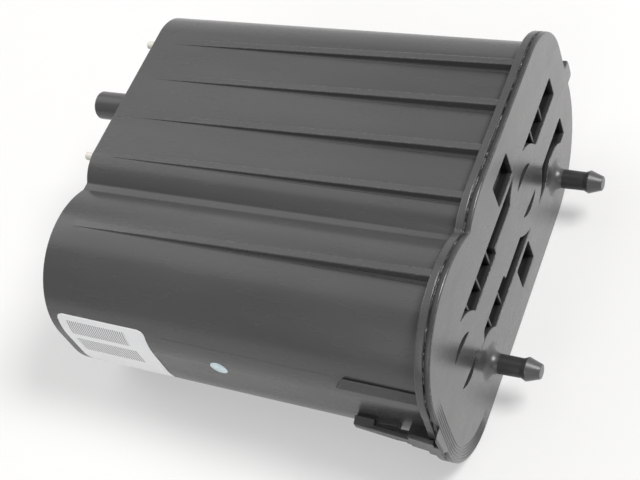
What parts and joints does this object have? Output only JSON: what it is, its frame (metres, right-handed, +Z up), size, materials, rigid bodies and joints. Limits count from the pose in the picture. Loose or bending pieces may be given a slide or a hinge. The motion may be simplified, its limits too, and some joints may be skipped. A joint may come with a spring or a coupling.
{
  "type": "charcoal canister",
  "caption": "Ribbed black plastic vapour canister with a flat part and a round lobe, a welded pocketed end cover with barbed grommet pins, a hose tube and a slide mount.",
  "frame": {"origin": "middle of the flat back, half way along the shell", "axes": "+X from the port end to the end cover, +Y from the lobe to the far side, +Z up from the flat back"},
  "size_m": [0.2278, 0.183, 0.0908],
  "materials": {
    "shell_plastic": "fine moulded grain, charcoal black",
    "cover_plastic": "semi-gloss moulded black with a striated rim",
    "felt": "pressed felt",
    "carbon": "packed carbon granules",
    "retainer_plastic": "natural moulded plastic",
    "spring_steel": "drawn wire",
    "plug_plastic": "natural soft plastic",
    "label_paper": "white paper with grey bar stripes",
    "dot_paint": "pale blue marking paint"
  },
  "bodies": {
    "root": {"canister_body": "shell_plastic", "end_cover": "cover_plastic", "main_port_pad": "felt", "lobe_port_pad": "felt", "main_carbon_bed": "carbon", "lobe_carbon_bed": "carbon", "main_spring_pad": "felt", "lobe_spring_pad": "felt", "main_retainer": "retainer_plastic", "lobe_retainer": "retainer_plastic", "main_spring": "spring_steel", "lobe_spring": "spring_steel", "far_port_plug": "plug_plastic", "near_port_plug": "plug_plastic", "label": "label_paper", "paint_dot": "dot_paint"}
  },
  "joints": []
}
